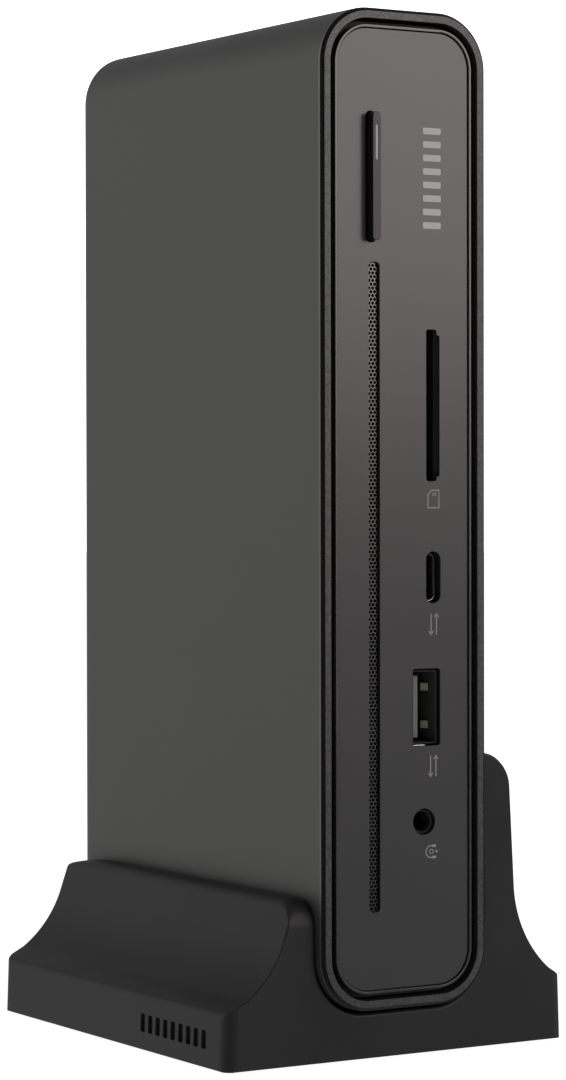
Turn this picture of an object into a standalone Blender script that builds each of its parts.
"""Laptop docking station standing upright in its desk cradle.

The dock is an aluminium sleeve closed by a front bezel and a rear panel, around a
vertical circuit board that carries every socket. It drops into a moulded cradle
with one low arm and one high arm. Lengths are in millimetres and are scaled to
metres when the meshes are made. X runs right, Y runs back, Z runs up, and the
origin is under the middle of the whole object.
"""
import math

import bmesh
import bpy

MM = 0.001

# Dock, measured from the front rim of its sleeve and from its underside
DOCK_W = 34.6
DOCK_D = 86.8
DOCK_H = 176.2
DOCK_R = 9.8
WALL = 1.8
EDGE_CHAMFER = 0.6
GROOVE = 1.05
RIM_W = 0.5
RIM_GAP = 0.15
RIM_RECESS = 0.3
PANEL_RECESS = 0.65
PANEL_T = 0.55
FRAME_GAP = 1.2
GRILLE_GAP = 0.05
BUTTON_PROUD = 2.0
REAR_RECESS = 0.6
REAR_T = 1.5

# Cradle, measured from its underside
STAND_W = 71.6
STAND_D = 84.3
STAND_SETBACK = 1.75
STAND_DRAFT = 0.35
CORNER_R = 2.3
FOOT_PROUD = 0.6
DOCK_LIFT = 8.7
CHANNEL_GAP = 0.35
FLOOR_GAP = 0.75
SWEEP_R = 21.0

# Circuit board
BOARD_X = 8.4
BOARD_T = 1.6
BOARD_FRONT = 6.0
BOARD_BACK = 83.0
BOARD_BOTTOM = 8.0
BOARD_TOP = 168.0

FIT_GAP = 0.3

# Worked out from the sizes above
BUTTON_FACE = PANEL_RECESS - BUTTON_PROUD
TOTAL_D = DOCK_D - BUTTON_FACE
DOCK_Y = -TOTAL_D / 2 - BUTTON_FACE
DOCK_Z = FOOT_PROUD + DOCK_LIFT
STAND_Y = DOCK_Y + STAND_SETBACK
RIM_INSET = WALL + GROOVE
PANEL_INSET = RIM_INSET + RIM_W + RIM_GAP
FRAME_Y = PANEL_RECESS + PANEL_T + FRAME_GAP
FRAME_T = 1.8

# Front openings: centre X, centre Z, width, height, corner radius
BUTTON = (-6.75, 146.7, 1.7, 22.5, 0.7)
BUTTON_CLEARANCE = 0.25
VENT = (-6.0, 74.5, 2.4, 114.6, 0.8)
CARD_SLOT = (6.05, 106.7, 2.2, 26.9, 0.3)
CARD_SLOT_STEP = (7.25, 106.6, 1.0, 25.1, 0.3)
USB_C = (6.4, 76.15, 3.1, 9.2, 1.5)
USB_A = (4.9, 53.05, 5.9, 13.7, 0.5)
JACK_X = 4.4
JACK_Z = 32.7
JACK_D = 4.7

# Rear openings, seen from the front: centre X, centre Z, width, height, corner radius
INLET = (3.6, 17.0, 8.4, 8.4, 4.1)
HOST_C = (6.4, 33.0, 3.1, 9.2, 1.5)
HDMI = (5.2, 52.0, 5.0, 15.0, 0.4)
DISPLAY_PORTS = ((5.2, 73.0, 5.2, 16.4, 0.4), (5.2, 94.0, 5.2, 16.4, 0.4))
ETHERNET = (1.2, 117.0, 13.4, 16.0, 0.3)
REAR_USB_A = ((4.9, 137.0, 5.9, 13.7, 0.5), (4.9, 155.5, 5.9, 13.7, 0.5))
LOCK_SLOT = (-9.0, 150.0, 3.0, 7.0, 0.6)
REAR_SCREWS = ((-11.3, 8.0), (11.3, 8.0), (-11.3, 168.2), (11.3, 168.2))

# Places shared by several pieces
CHANNEL_HALF = DOCK_W / 2 + CHANNEL_GAP
SOCKET_FACE = PANEL_RECESS + 0.6
USB_C_FACE = PANEL_RECESS + 1.8
REAR_FACE = DOCK_D - REAR_RECESS - 0.2
CARD_READER = (6.5, 106.7, 4.0, 29.0, 0.4)
SWITCH_FACE = 5.6
BUTTON_BOARD_Y = 8.2
LIGHT_RISE = 5.9
BOARD_SCREWS = ((12.0, 14.0), (12.0, 162.0), (60.0, 30.0), (60.0, 148.0))
UNDER_WALL = 2.2
CAVITY_H = 5.6
PLATE_LOW = 0.4
PLATE_T = 1.4
PAD_X = 4.4
PAD_W = 4.0
PAD_Z = DOCK_LIFT - FLOOR_GAP
PAD_INSET = 8.0
FOOT_R = 5.0
FOOT_PLACES = ((-25.5, -31.0), (25.5, -31.0), (-25.5, 31.0), (25.5, 31.0))
SCREW_PLACES = ((-28.5, -20.0), (28.5, -20.0), (-28.5, 20.0), (28.5, 20.0))


# ---------------------------------------------------------------- materials

def material(name, colour, roughness, metallic=0.0):
    """Principled BSDF with a plain colour, made once and shared after that."""
    found = bpy.data.materials.get(name)
    if found:
        return found
    made = bpy.data.materials.new(name)
    made.use_nodes = True
    shader = made.node_tree.nodes["Principled BSDF"]
    shader.inputs["Base Color"].default_value = (*colour, 1.0)
    shader.inputs["Roughness"].default_value = roughness
    shader.inputs["Metallic"].default_value = metallic
    return made


def sleeve_finish():
    return material("anodised_graphite", (0.085, 0.083, 0.078), 0.45, 0.6)


def rim_finish():
    return material("rim_graphite", (0.17, 0.165, 0.16), 0.35, 0.7)


def panel_finish():
    return material("panel_graphite", (0.075, 0.072, 0.07), 0.35, 0.3)


def black_plastic():
    return material("black_plastic", (0.012, 0.012, 0.012), 0.5)


def stand_plastic():
    return material("stand_plastic", (0.024, 0.024, 0.025), 0.6)


def clear_plastic():
    return material("light_guide_plastic", (0.6, 0.6, 0.6), 0.25)


def rubber():
    return material("black_rubber", (0.02, 0.02, 0.02), 0.85)


def steel():
    return material("steel", (0.55, 0.55, 0.56), 0.35, 1.0)


def aluminium():
    return material("bare_aluminium", (0.7, 0.7, 0.71), 0.4, 1.0)


def board_laminate():
    return material("board_laminate", (0.01, 0.055, 0.025), 0.45)


# ---------------------------------------------------------------- mesh tools

def rounded_rect(width, height, radius, steps=6):
    """Outline of a rounded rectangle as (x, z) points, counter-clockwise."""
    points = []
    corners = ((1, 1), (-1, 1), (-1, -1), (1, -1))
    for quarter, (side_x, side_z) in enumerate(corners):
        centre_x = side_x * (width / 2 - radius)
        centre_z = side_z * (height / 2 - radius)
        for step in range(steps + 1):
            angle = (quarter + step / steps) * math.pi / 2
            points.append((centre_x + radius * math.cos(angle),
                           centre_z + radius * math.sin(angle)))
    return points


def arc(centre_x, centre_z, radius_x, radius_z, start, end, steps):
    """Points on an elliptical arc, from start to end in degrees."""
    points = []
    for step in range(steps + 1):
        angle = math.radians(start + (end - start) * step / steps)
        points.append((centre_x + radius_x * math.cos(angle),
                       centre_z + radius_z * math.sin(angle)))
    return points


def new_object(name, bm, finish, at=(0, 0, 0), parent=None):
    """Turn a bmesh in millimetres into a named object placed at a point."""
    bmesh.ops.recalc_face_normals(bm, faces=bm.faces)
    bmesh.ops.scale(bm, vec=(MM, MM, MM), verts=bm.verts)
    mesh = bpy.data.meshes.new(name)
    bm.to_mesh(mesh)
    bm.free()
    mesh.shade_smooth()
    mesh.set_sharp_from_angle(angle=math.radians(30))
    mesh.materials.append(finish)
    obj = bpy.data.objects.new(name, mesh)
    bpy.context.collection.objects.link(obj)
    obj.location = [value * MM for value in at]
    obj.parent = parent
    return obj


def loft_mesh(sections, closed=False):
    """Join outlines of equal length. A section is (outline, y), in order.

    A closed loft joins the last section to the first, which makes a ring;
    an open one is capped at both ends.
    """
    bm = bmesh.new()
    rings = []
    for outline, y in sections:
        rings.append([bm.verts.new((x, y, z)) for x, z in outline])
    pairs = list(zip(rings, rings[1:]))
    if closed:
        pairs.append((rings[-1], rings[0]))
    count = len(rings[0])
    for first, second in pairs:
        for index in range(count):
            following = (index + 1) % count
            bm.faces.new((first[index], first[following],
                          second[following], second[index]))
    if not closed:
        bm.faces.new(rings[0])
        bm.faces.new(rings[-1])
    return bm


def loft(name, sections, finish, at=(0, 0, 0), parent=None, closed=False):
    return new_object(name, loft_mesh(sections, closed), finish, at, parent)


def prism(name, outline, y_front, y_back, finish, at=(0, 0, 0), parent=None):
    return loft(name, [(outline, y_front), (outline, y_back)], finish, at, parent)


def block(name, low, high, finish, parent=None):
    """Box between two corners, with its origin at its middle."""
    middle = [(a + b) / 2 for a, b in zip(low, high)]
    size = [b - a for a, b in zip(low, high)]
    outline = rounded_rect(size[0], size[2], 0.1, steps=1)
    return prism(name, outline, -size[1] / 2, size[1] / 2, finish, middle, parent)


def cutter(name, sections, at=(0, 0, 0), parent=None):
    """Closed solid that only cuts others."""
    obj = loft(name, sections, black_plastic(), at, parent)
    obj.hide_render = True
    obj.display_type = "WIRE"
    return obj


def opening(place, y_front, y_back, parent, clearance=0.0, name="opening_cutter"):
    """Cutter for one opening given as centre X, centre Z, width, height, radius."""
    x, z, width, height, radius = place
    outline = rounded_rect(width + 2 * clearance, height + 2 * clearance, radius + clearance, 4)
    return cutter(name, [(outline, y_front), (outline, y_back)], (x, 0, z), parent)


def boolean(obj, operation, tool):
    modifier = obj.modifiers.new(operation.title(), "BOOLEAN")
    modifier.operation = operation
    modifier.solver = "EXACT"
    modifier.object = tool


def cut(obj, *tools):
    for tool in tools:
        boolean(obj, "DIFFERENCE", tool)


def fuse(obj, *tools):
    for tool in tools:
        boolean(obj, "UNION", tool)


def disc(radius, steps=24):
    return arc(0, 0, radius, radius, 0, 360 * (steps - 1) / steps, steps - 1)


# ---------------------------------------------------------------- dock shell

def dock_outline(inset, steps=8):
    """Rounded outline of the dock, moved inwards, centred on the dock's middle."""
    return rounded_rect(DOCK_W - 2 * inset, DOCK_H - 2 * inset, DOCK_R - inset, steps)


def make_sleeve(dock):
    """Open-ended tube with a chamfer round both outer edges."""
    outer = dock_outline(0)
    land = dock_outline(EDGE_CHAMFER)
    inner = dock_outline(WALL)
    sections = [(land, 0), (outer, EDGE_CHAMFER), (outer, DOCK_D - EDGE_CHAMFER),
                (land, DOCK_D), (inner, DOCK_D), (inner, 0)]
    loft("sleeve", sections, sleeve_finish(), (0, 0, DOCK_H / 2), dock, closed=True)


def make_trim_ring(dock):
    """Narrow metal rim that stands in the groove round the front panel."""
    outer = dock_outline(RIM_INSET)
    inner = dock_outline(RIM_INSET + RIM_W)
    back = FRAME_Y - FIT_GAP
    sections = [(outer, RIM_RECESS), (outer, back), (inner, back), (inner, RIM_RECESS)]
    loft("trim_ring", sections, rim_finish(), (0, 0, DOCK_H / 2), dock, closed=True)


def make_front_panel(dock):
    """Flat face plate with the button, vent and socket openings."""
    outline = dock_outline(PANEL_INSET)
    panel = prism("front_panel", outline, PANEL_RECESS, PANEL_RECESS + PANEL_T,
                  panel_finish(), (0, 0, DOCK_H / 2), dock)
    front = PANEL_RECESS - 1
    back = PANEL_RECESS + PANEL_T + 1
    jack = (JACK_X, JACK_Z, JACK_D, JACK_D, JACK_D / 2 - 0.01)
    cut(panel,
        opening(BUTTON, front, back, dock, BUTTON_CLEARANCE),
        opening(VENT, front, back, dock),
        opening(CARD_SLOT, front, back, dock),
        opening(CARD_SLOT_STEP, front, back, dock),
        opening(USB_C, front, back, dock),
        opening(USB_A, front, back, dock),
        opening(jack, front, back, dock))


def make_vent_grille(dock):
    """Thin perforated strip behind the long vent opening."""
    x, z, width, height, radius = VENT
    outline = rounded_rect(width + 2.4, height + 3, radius + 0.7)
    front = PANEL_RECESS + PANEL_T + GRILLE_GAP
    prism("vent_grille", outline, front, front + 0.25, steel(), (x, 0, z), dock)


def make_front_frame(dock):
    """Black inner frame that carries the rim, the panel and the grille."""
    outline = dock_outline(WALL + FIT_GAP)
    frame = prism("front_frame", outline, FRAME_Y, FRAME_Y + FRAME_T, black_plastic(),
                  (0, 0, DOCK_H / 2), dock)
    front = FRAME_Y - 1
    back = FRAME_Y + FRAME_T + 1
    jack = (JACK_X, JACK_Z, JACK_D, JACK_D, JACK_D / 2 - 0.01)
    cut(frame,
        opening(BUTTON, front, back, dock, 1.2),
        opening(VENT, front, back, dock),
        opening(CARD_READER, front, back, dock, FIT_GAP),
        opening(USB_C, front, back, dock, FIT_GAP),
        opening(USB_A, front, back, dock, FIT_GAP),
        opening(jack, front, back, dock, 1.2))


# ---------------------------------------------------------------- power button

def make_power_button(axis):
    """Tall button cap with a slot for its light and a post for the switch."""
    width, height, radius = BUTTON[2:]
    cap = rounded_rect(width, height, radius)
    face = rounded_rect(width - 0.3, height - 0.3, radius - 0.15)
    flange = rounded_rect(width + 1.6, height + 1.6, radius + 0.6)
    post = rounded_rect(1.4, 4.0, 0.4)
    flange_front = PANEL_RECESS + PANEL_T + 0.75 - BUTTON_FACE
    flange_back = flange_front + 0.7
    post_back = SWITCH_FACE - 0.1 - BUTTON_FACE
    button = loft("power_button",
                  [(face, 0), (cap, 0.15), (cap, flange_front), (flange, flange_front),
                   (flange, flange_back), (post, flange_back), (post, post_back)],
                  black_plastic(), (0, 0, 0), axis)
    slot = rounded_rect(0.6, 6.2, 0.25, 3)
    cut(button, cutter("light_slot_cutter", [(slot, -1), (slot, 1.3)], (0, 0, LIGHT_RISE), axis))


def make_button_light(axis):
    """Clear strip in the button's face."""
    outline = rounded_rect(0.42, 6.0, 0.2, 3)
    prism("button_light_guide", outline, 0.03, 1.1, clear_plastic(), (0, 0, LIGHT_RISE), axis)


def make_switch_plunger(axis):
    """Round plunger of the switch, which moves with the button."""
    front = SWITCH_FACE - BUTTON_FACE
    prism("switch_plunger", disc(0.9), front, front + 1.0, black_plastic(), (0, 0, 0), axis)


def make_switch(dock):
    """Body of the switch, with the bore that its plunger moves in."""
    x, z = BUTTON[:2]
    front = SWITCH_FACE + 0.45
    body = block("switch_body", (x - 2.2, front, z - 2.2),
                 (x + 2.2, BUTTON_BOARD_Y - 0.2, z + 2.2), steel(), dock)
    bore = disc(1.1)
    cut(body, cutter("bore_cutter", [(bore, front - 1), (bore, front + 1.2)], (x, 0, z), dock))


def make_button_board(dock):
    """Small board behind the button, with its status light."""
    x, z = BUTTON[:2]
    block("button_board", (x - 4.5, BUTTON_BOARD_Y, z - 14),
          (x + 4.5, BUTTON_BOARD_Y + 1.0, z + 14), board_laminate(), dock)
    block("status_led", (x - 0.8, BUTTON_BOARD_Y - 0.9, z + LIGHT_RISE - 0.8),
          (x + 0.8, BUTTON_BOARD_Y - 0.2, z + LIGHT_RISE + 0.8), clear_plastic(), dock)


def make_ribbon(dock):
    """Flat cable from the button board, round one bend, to the main board."""
    thickness = 0.3
    start_y = BUTTON_BOARD_Y + 1.0 + FIT_GAP
    bend = 3.0
    start_x = BUTTON[0]
    end_x = BOARD_X - FIT_GAP
    outer = arc(start_x + bend, start_y + bend, bend, bend, 180, 90, 8)
    inner = arc(start_x + bend, start_y + bend, bend - thickness, bend - thickness, 90, 180, 8)
    route = [(start_x, start_y)] + outer + [(end_x, start_y + bend * 2)]
    back = [(end_x, start_y + bend * 2 - thickness)] + inner + [(start_x + thickness, start_y)]
    bm = bmesh.new()
    width = 5.0
    bottom = BUTTON[1] - 10
    face = bm.faces.new([bm.verts.new((x, y, bottom)) for x, y in route + back])
    lifted = bmesh.ops.extrude_face_region(bm, geom=[face])
    moved = [item for item in lifted["geom"] if isinstance(item, bmesh.types.BMVert)]
    bmesh.ops.translate(bm, vec=(0, 0, width), verts=moved)
    new_object("ribbon_cable", bm, black_plastic(), (0, 0, 0), dock)


# ---------------------------------------------------------------- sockets

def socket_body(name, place, y_face, length, pocket_depth, wall, finish, parent, rear=False):
    """Metal socket: an outer shell with a blind pocket, opening to the front or rear."""
    x, z, width, height, radius = place
    outer = rounded_rect(width - 2 * FIT_GAP, height - 2 * FIT_GAP, max(radius - FIT_GAP, 0.15), 4)
    inner_w = width - 2 * FIT_GAP - 2 * wall
    inner_h = height - 2 * FIT_GAP - 2 * wall
    inner = rounded_rect(inner_w, inner_h, max(radius - FIT_GAP - wall, 0.1), 4)
    sections = [(outer, length), (outer, 0), (inner, 0), (inner, pocket_depth)]
    obj = loft(name, sections, finish, (x, y_face, z), parent)
    if rear:
        obj.rotation_euler.z = math.pi
    return obj


def tongue(name, place, offset_x, size, y_face, parent, rear=False):
    """Contact tongue standing clear inside a socket: size is width, length, height."""
    x, z = place[:2]
    width, length, height = size
    outline = rounded_rect(width, height, 0.15, 2)
    side = -1 if rear else 1
    tip = rounded_rect(width - 0.2, height - 0.2, 0.05, 2)
    return loft(name, [(tip, 0), (outline, side * 0.2), (outline, side * length)],
                black_plastic(), (x + offset_x, y_face, z), parent)


def make_card_reader(dock):
    """Flat metal card reader, open to the front."""
    face = PANEL_RECESS + PANEL_T + FIT_GAP
    socket_body("card_reader", CARD_READER, face, 27, 24, 0.25, steel(), dock)


def make_front_usb_c(dock):
    socket_body("usb_c_front_shell", USB_C, USB_C_FACE, 9.5, 7.0, 0.2, steel(), dock)
    tongue("usb_c_front_tongue", USB_C, 0, (0.7, 5.6, 6.7), USB_C_FACE + 0.9, dock)


def make_front_usb_a(dock):
    socket_body("usb_a_front_shell", USB_A, SOCKET_FACE, 15, 12.5, 0.25, steel(), dock)
    tongue("usb_a_front_tongue", USB_A, -1.2, (1.8, 10.4, 11.1), SOCKET_FACE + 1.7, dock)


def make_audio_jack(dock):
    """Jack body with a collar that fills the round opening."""
    bore = disc(1.8)
    collar = disc(2.15)
    body = rounded_rect(5.6, 5.6, 0.5, 5)
    sections = [(body, 13.5), (body, 3.3), (collar, 3.3), (collar, 0), (bore, 0), (bore, 11.5)]
    loft("audio_jack", sections, black_plastic(), (JACK_X, SOCKET_FACE, JACK_Z), dock)


def make_rear_panel(dock):
    """Black plate that closes the back of the sleeve, with every rear opening."""
    back = DOCK_D - REAR_RECESS
    front = back - REAR_T
    panel = prism("rear_panel", dock_outline(WALL + FIT_GAP), front, back, black_plastic(),
                  (0, 0, DOCK_H / 2), dock)
    places = [INLET, HOST_C, HDMI, ETHERNET, LOCK_SLOT, *DISPLAY_PORTS, *REAR_USB_A]
    cut(panel, *[opening(place, front - 1, back + 1, dock) for place in places])
    hole = disc(1.4, 16)
    for x, z in REAR_SCREWS:
        cut(panel, cutter("screw_hole_cutter", [(hole, front - 1), (hole, back + 1)],
                          (x, 0, z), dock))


def make_rear_screws(dock):
    """Small screws, heads flush in the rear panel."""
    head = disc(1.2, 16)
    shank = disc(0.8, 16)
    back = DOCK_D - REAR_RECESS
    for number, (x, z) in enumerate(REAR_SCREWS, start=1):
        loft(f"rear_screw_{number}",
             [(shank, back - 6), (shank, back - 1), (head, back - 0.9), (head, back - 0.1)],
             steel(), (x, 0, z), dock)


def make_power_inlet(dock):
    """Barrel inlet with its centre pin standing in the bore."""
    x, z, width = INLET[:3]
    outer = disc(width / 2 - FIT_GAP)
    bore = disc(3.1)
    pin = disc(1.0)
    sections = [(outer, -11), (outer, 0), (bore, 0), (bore, -8), (pin, -8), (pin, -1)]
    loft("power_inlet", sections, black_plastic(), (x, REAR_FACE, z), dock)


def make_rear_sockets(dock):
    """Host port, display ports and rear USB ports: a shell with a fused tongue each."""
    rows = [("host_port", HOST_C, 9.5, 7.0, 0.2, (0.7, 6.0, 6.7), 0),
            ("hdmi_port", HDMI, 12, 9.5, 0.25, (1.0, 8.0, 11.0), 0.4)]
    rows += [(f"display_port_{number}", place, 17, 10, 0.25, (1.2, 8.5, 12.0), 0.4)
             for number, place in enumerate(DISPLAY_PORTS, start=1)]
    rows += [(f"usb_a_rear_{number}", place, 15, 12.5, 0.25, (1.8, 11.0, 11.1), -1.2)
             for number, place in enumerate(REAR_USB_A, start=1)]
    for name, place, length, depth, wall, size, offset in rows:
        shell = socket_body(name, place, REAR_FACE, length, depth, wall, steel(), dock, rear=True)
        inner = tongue(name + "_tongue_cutter", place, offset, (size[0], depth - 0.5, size[2]),
                       REAR_FACE - 1.5, dock, rear=True)
        inner.hide_render = True
        inner.display_type = "WIRE"
        fuse(shell, inner)


def make_ethernet_port(dock):
    """Square network socket with a stepped mouth for the plug and its latch."""
    x, z, width, height = ETHERNET[:4]
    outline = rounded_rect(width - 2 * FIT_GAP, height - 2 * FIT_GAP, 0.3, 1)
    port = prism("ethernet_port", outline, -20, 0, steel(), (x, REAR_FACE, z), dock)
    mouth = rounded_rect(7.4, 11.9, 0.2, 1)
    latch = rounded_rect(4.0, 6.2, 0.2, 1)
    cut(port,
        cutter("mouth_cutter", [(mouth, -13), (mouth, 1)], (x + 1.2, REAR_FACE, z), dock),
        cutter("latch_cutter", [(latch, -9), (latch, 1)], (x - 3.6, REAR_FACE, z), dock))


# ---------------------------------------------------------------- inside the dock

def make_main_board(dock):
    block("main_board", (BOARD_X, BOARD_FRONT, BOARD_BOTTOM),
          (BOARD_X + BOARD_T, BOARD_BACK, BOARD_TOP), board_laminate(), dock)


def make_chassis(dock):
    """Steel plate beside the board, with four posts that the board screws to."""
    plate_x = BOARD_X + BOARD_T + 2.6
    plate = block("chassis_plate", (plate_x, 5.0, 10.0), (plate_x + 0.8, 83.0, 166.0),
                  steel(), dock)
    post_outline = disc(2.0, 12)
    start = BOARD_X + BOARD_T + FIT_GAP
    for y, z in BOARD_SCREWS:
        post = cutter("post_cutter", [(post_outline, 0), (post_outline, plate_x + 0.4 - start)],
                      (start, y, z), dock)
        post.rotation_euler.z = -math.pi / 2
        fuse(plate, post)


def make_board_screws(dock):
    """Pan-head screws that hold the board to the chassis posts."""
    top = disc(1.6, 16)
    head = disc(1.9, 16)
    for number, (y, z) in enumerate(BOARD_SCREWS, start=1):
        screw = loft(f"board_screw_{number}", [(top, 0), (head, 0.4), (head, 0.9)],
                     steel(), (BOARD_X - 0.2 - 0.9, y, z), dock)
        screw.rotation_euler.z = -math.pi / 2


def make_board_parts(dock):
    """Two chips under one finned heat sink, two capacitors and a choke."""
    face = BOARD_X - 0.2
    for name, low_z in (("hub_chip", 66.0), ("video_chip", 96.0)):
        block(name, (face - 1.1, 40.0, low_z), (face, 52.0, low_z + 12.0), black_plastic(), dock)
    base = block("heat_sink", (face - 3.9, 36.0, 60.0), (face - 1.3, 58.0, 116.0),
                 aluminium(), dock)
    for index in range(6):
        low_y = 36.2 + index * 4.1
        fin = block("fin_cutter", (face - 10.5, low_y, 60.2), (face - 3.5, low_y + 1.1, 115.8),
                    aluminium(), dock)
        fin.hide_render = True
        fin.display_type = "WIRE"
        fuse(base, fin)
    block("choke", (face - 5.0, 60.0, 11.0), (face, 70.0, 21.0), black_plastic(), dock)
    can = disc(3.9)
    for number, z in enumerate((132.0, 142.0), start=1):
        capacitor = loft(f"capacitor_{number}", [(can, 0), (can, 8.6), (disc(3.5), 9.0)],
                         aluminium(), (face, 50.0, z), dock)
        capacitor.rotation_euler.z = math.pi / 2


# ---------------------------------------------------------------- cradle

def left_profile():
    """Low arm from the channel's top edge, over the arm and down to the base."""
    slope = 34.8
    top_angle = 70.0
    start_x = -31.8
    start_z = 12.05
    centre_x = start_x - SWEEP_R * math.sin(math.radians(slope))
    centre_z = start_z + SWEEP_R * math.cos(math.radians(slope))
    sweep = arc(centre_x, centre_z, SWEEP_R, SWEEP_R, top_angle - 90, slope - 90, 8)
    crown = arc(-20.1, 26.6, 2.3, 2.3, 90, 162, 5)
    wall_x = -STAND_W / 2
    inner = arc(-CHANNEL_HALF - 1.4, 27.5, 1.4, 1.4, 0, 90, 3)
    return inner + crown + sweep + [(wall_x + STAND_DRAFT, 9.9), (wall_x, 0)]


def right_profile():
    """Base, sweep and high arm, up to the channel's top edge."""
    slope = 40.5
    top_angle = 87.5
    start_x = 32.75
    start_z = 13.15
    centre_x = start_x + SWEEP_R * math.sin(math.radians(slope))
    centre_z = start_z + SWEEP_R * math.cos(math.radians(slope))
    sweep = arc(centre_x, centre_z, SWEEP_R, SWEEP_R, 270 - slope, 270 - top_angle, 9)
    crown = arc(18.6, 46.3, 6.2, 6.55, 0, 90, 7)
    wall_x = STAND_W / 2
    inner = arc(CHANNEL_HALF + 0.8, 52.05, 0.8, 0.8, 90, 180, 3)
    return [(wall_x, 0), (wall_x - STAND_DRAFT, 11.2)] + sweep + crown + inner


def channel_outline():
    """Round-bottomed channel that holds the dock, open at the top."""
    radius = DOCK_R + CHANNEL_GAP
    floor = DOCK_LIFT - FLOOR_GAP
    low = arc(-CHANNEL_HALF + radius, floor + radius, radius, radius, 180, 270, 8)
    low += arc(CHANNEL_HALF - radius, floor + radius, radius, radius, 270, 360, 8)
    return low + [(CHANNEL_HALF, 70), (-CHANNEL_HALF, 70)]


def make_stand_body(stand):
    """Moulded cradle: swept section, rounded plan corners, hollow underside."""
    section = right_profile() + left_profile()
    body = prism("stand_body", section, 0, STAND_D, stand_plastic(), (0, 0, 0), stand)
    plan = rounded_rect(STAND_W, STAND_D, CORNER_R, 5)
    tower = cutter("plan_cutter", [(plan, -60), (plan, 10)], (0, STAND_D / 2, 0), stand)
    tower.rotation_euler.x = -math.pi / 2
    boolean(body, "INTERSECT", tower)
    channel = channel_outline()
    pad = rounded_rect(PAD_W, 1.0, 0.2, 1)
    cavity = rounded_rect(STAND_W - 2 * UNDER_WALL, STAND_D - 2 * UNDER_WALL, CORNER_R, 4)
    hollow = cutter("cavity_cutter", [(cavity, -CAVITY_H), (cavity, 5)],
                    (0, STAND_D / 2, 0), stand)
    hollow.rotation_euler.x = -math.pi / 2
    cut(body, cutter("channel_cutter", [(channel, -5), (channel, STAND_D + 5)], (0, 0, 0), stand),
        hollow)
    for x in (-PAD_X, PAD_X):
        cut(body, cutter("pad_cutter", [(pad, PAD_INSET), (pad, STAND_D - PAD_INSET)],
                         (x, 0, PAD_Z), stand))


def make_cradle_pads(stand):
    """Rubber strips let into the channel floor, which the dock rests on."""
    width = PAD_W - 0.3
    outline = rounded_rect(width, 0.9, 0.15, 2)
    front = PAD_INSET + 0.15
    back = STAND_D - PAD_INSET - 0.15
    for number, x in enumerate((-PAD_X, PAD_X), start=1):
        prism(f"cradle_pad_{number}", outline, front, back, rubber(),
              (x, 0, PAD_Z + 0.1), stand)


def make_base_plate(stand):
    """Cover that closes the underside, with recesses for feet and screws."""
    outline = rounded_rect(STAND_W - 2 * UNDER_WALL - 2 * FIT_GAP,
                           STAND_D - 2 * UNDER_WALL - 2 * FIT_GAP, CORNER_R - FIT_GAP, 4)
    plate = loft("base_plate", [(outline, -PLATE_LOW - PLATE_T), (outline, -PLATE_LOW)],
                 stand_plastic(), (0, STAND_D / 2, 0), stand)
    plate.rotation_euler.x = -math.pi / 2
    recess = disc(FOOT_R + 0.2)
    hole = disc(1.9, 16)
    for x, y in FOOT_PLACES:
        tool = cutter("foot_cutter", [(recess, -PLATE_LOW - 0.8), (recess, 1)],
                      (x, STAND_D / 2 + y, 0), stand)
        tool.rotation_euler.x = -math.pi / 2
        cut(plate, tool)
    for x, y in SCREW_PLACES:
        tool = cutter("screw_cutter", [(hole, -6), (hole, 1)], (x, STAND_D / 2 + y, 0), stand)
        tool.rotation_euler.x = -math.pi / 2
        cut(plate, tool)


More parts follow.
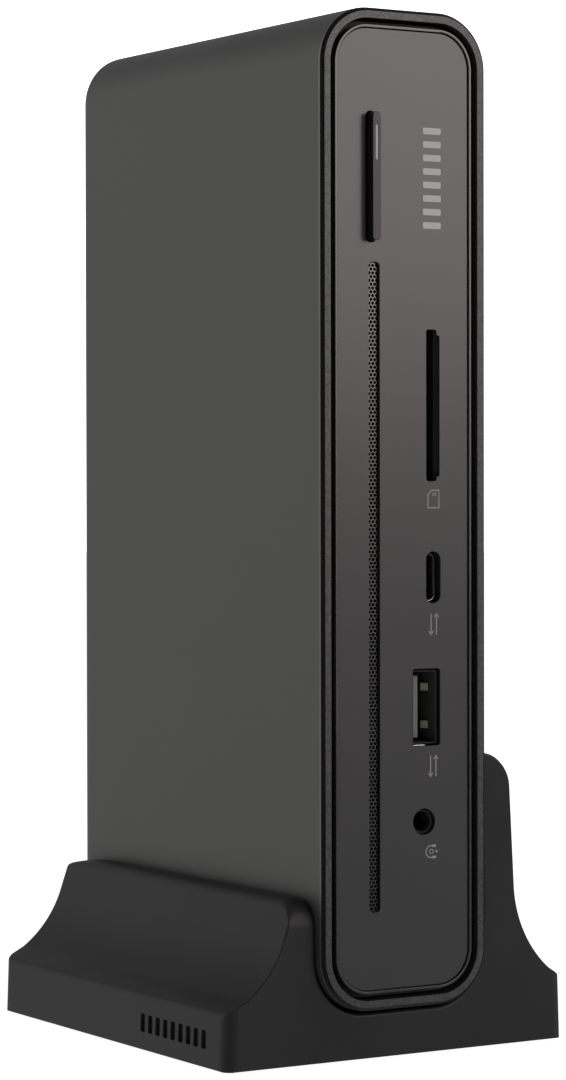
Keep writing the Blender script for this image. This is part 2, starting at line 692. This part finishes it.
def make_feet(stand):
    """Round rubber feet let into the base plate."""
    edge = disc(FOOT_R - 0.4)
    full = disc(FOOT_R)
    top = PLATE_LOW + 0.6
    for number, (x, y) in enumerate(FOOT_PLACES, start=1):
        foot = loft(f"foot_{number}",
                    [(full, -top), (full, FOOT_PROUD - 0.4), (edge, FOOT_PROUD)],
                    rubber(), (x, STAND_D / 2 + y, 0), stand)
        foot.rotation_euler.x = -math.pi / 2


def make_base_screws(stand):
    """Screws that hold the base plate, heads just inside it."""
    head = disc(1.6, 16)
    shank = disc(1.1, 16)
    for number, (x, y) in enumerate(SCREW_PLACES, start=1):
        screw = loft(f"base_screw_{number}",
                     [(shank, -4.6), (shank, -1.4), (head, -1.4), (head, -PLATE_LOW - 0.1)],
                     steel(), (x, STAND_D / 2 + y, 0), stand)
        screw.rotation_euler.x = -math.pi / 2


def make_ballast(stand):
    """Steel weight that keeps the tall dock from tipping."""
    low_z = PLATE_LOW + PLATE_T + FIT_GAP
    block("ballast_plate", (-24, 12, low_z), (24, STAND_D - 12, low_z + 2.4), steel(), stand)


# ---------------------------------------------------------------- assembly

def make_empty(name, at, parent=None):
    empty = bpy.data.objects.new(name, None)
    bpy.context.collection.objects.link(empty)
    empty.location = [value * MM for value in at]
    empty.parent = parent
    return empty


def main():
    for obj in list(bpy.data.objects):
        bpy.data.objects.remove(obj, do_unlink=True)

    stand = make_empty("stand_frame", (0, STAND_Y, FOOT_PROUD))
    make_stand_body(stand)
    make_cradle_pads(stand)
    make_base_plate(stand)
    make_feet(stand)
    make_base_screws(stand)
    make_ballast(stand)

    dock = make_empty("dock_frame", (0, DOCK_Y, DOCK_Z))
    make_sleeve(dock)
    make_trim_ring(dock)
    make_front_panel(dock)
    make_vent_grille(dock)
    make_front_frame(dock)
    make_card_reader(dock)
    make_front_usb_c(dock)
    make_front_usb_a(dock)
    make_audio_jack(dock)
    make_rear_panel(dock)
    make_rear_screws(dock)
    make_power_inlet(dock)
    make_rear_sockets(dock)
    make_ethernet_port(dock)
    make_main_board(dock)
    make_chassis(dock)
    make_board_screws(dock)
    make_board_parts(dock)
    make_button_board(dock)
    make_switch(dock)
    make_ribbon(dock)

    button_axis = make_empty("button_axis", (BUTTON[0], BUTTON_FACE, BUTTON[1]), dock)
    make_power_button(button_axis)
    make_button_light(button_axis)
    make_switch_plunger(button_axis)


main()
